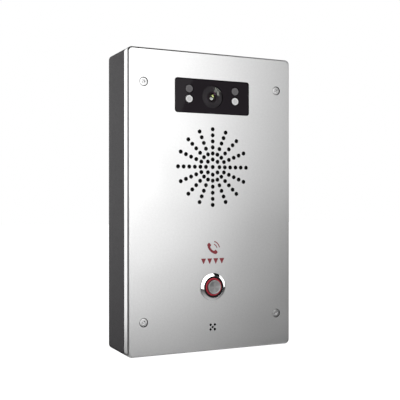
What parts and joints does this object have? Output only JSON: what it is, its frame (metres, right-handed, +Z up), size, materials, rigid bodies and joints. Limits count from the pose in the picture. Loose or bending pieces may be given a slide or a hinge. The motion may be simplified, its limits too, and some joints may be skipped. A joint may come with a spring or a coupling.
{
  "type": "door intercom panel",
  "caption": "Wall-mounted door intercom panel: steel cover with camera window, speaker holes, sprung call button and microphone on a dark metal box.",
  "frame": {"origin": "centre of the flat back face that rests on the wall", "axes": "+X to the right seen from the front, +Y into the wall, +Z up; the front faces -Y"},
  "size_m": [0.133, 0.0454, 0.22],
  "materials": {
    "satin_steel": "satin stainless sheet with a fine grain",
    "charcoal_coat": "charcoal powder coat, fine texture",
    "polished_steel": "mirror polished",
    "turned_steel": "lathe turned rings",
    "screw_steel": "satin stainless",
    "zinc_steel": "zinc plated",
    "black_metal": "black anodised",
    "black_rubber": "matt moulded",
    "black_window": "polished black acrylic",
    "black_plastic": "fine moulded texture",
    "lens_glass": "coated, polished",
    "lamp_diffuser": "frosted white",
    "smoked_window": "smoked grey",
    "signal_red": "translucent red",
    "circuit_laminate": "solder mask",
    "chip_black": "moulded epoxy",
    "green_plastic": "moulded",
    "speaker_paper": "pressed paper",
    "brass": "tinned brass"
  },
  "bodies": {
    "case": {"acoustic_membrane": "speaker_paper", "back_box": "charcoal_coat", "board_screw_1": "zinc_steel", "board_screw_2": "zinc_steel", "board_screw_3": "zinc_steel", "board_screw_4": "zinc_steel", "button_bezel": "polished_steel", "button_gasket": "black_rubber", "button_lamp_ring": "signal_red", "button_nut": "zinc_steel", "button_sleeve": "black_plastic", "button_spring": "zinc_steel", "button_switch": "black_plastic", "button_terminal_1": "brass", "button_terminal_2": "brass", "button_terminal_3": "brass", "button_terminal_4": "brass", "cable_grommet": "black_rubber", "camera_board": "circuit_laminate", "camera_bracket": "zinc_steel", "camera_nut_1": "zinc_steel", "camera_nut_2": "zinc_steel", "camera_window": "black_window", "cover_gasket": "black_rubber", "cover_screw_1": "screw_steel", "cover_screw_2": "screw_steel", "cover_screw_3": "screw_steel", "cover_screw_4": "screw_steel", "front_cover": "satin_steel", "heat_sink": "black_metal", "image_sensor": "chip_black", "inner_lens": "lens_glass", "left_lamp_chip": "chip_black", "left_lamp_window": "lamp_diffuser", "left_sensor_chip": "chip_black", "left_sensor_window": "smoked_window", "lens_barrel": "black_plastic", "lens_glass": "lens_glass", "lens_holder": "black_plastic", "light_board": "circuit_laminate", "main_board": "circuit_laminate", "microphone_boot": "black_rubber", "microphone_capsule": "zinc_steel", "network_jack": "zinc_steel", "processor": "chip_black", "right_lamp_chip": "chip_black", "right_lamp_window": "lamp_diffuser", "right_sensor_chip": "chip_black", "right_sensor_window": "smoked_window", "speaker_cone": "speaker_paper", "speaker_frame": "zinc_steel", "speaker_gasket": "black_rubber", "speaker_magnet": "zinc_steel", "speaker_nut_1": "zinc_steel", "speaker_nut_2": "zinc_steel", "speaker_nut_3": "zinc_steel", "speaker_nut_4": "zinc_steel", "terminal_block": "green_plastic", "window_gasket": "black_rubber"},
    "call_button": {"button_cap": "turned_steel"}
  },
  "joints": [
    {"name": "call_button_press", "type": "slide", "parent": "case", "child": "call_button", "axis": [0, 1, 0], "range_m": [0, 0.0015], "stiffness_N_per_m": 2000, "deforming": ["button_spring"]}
  ]
}
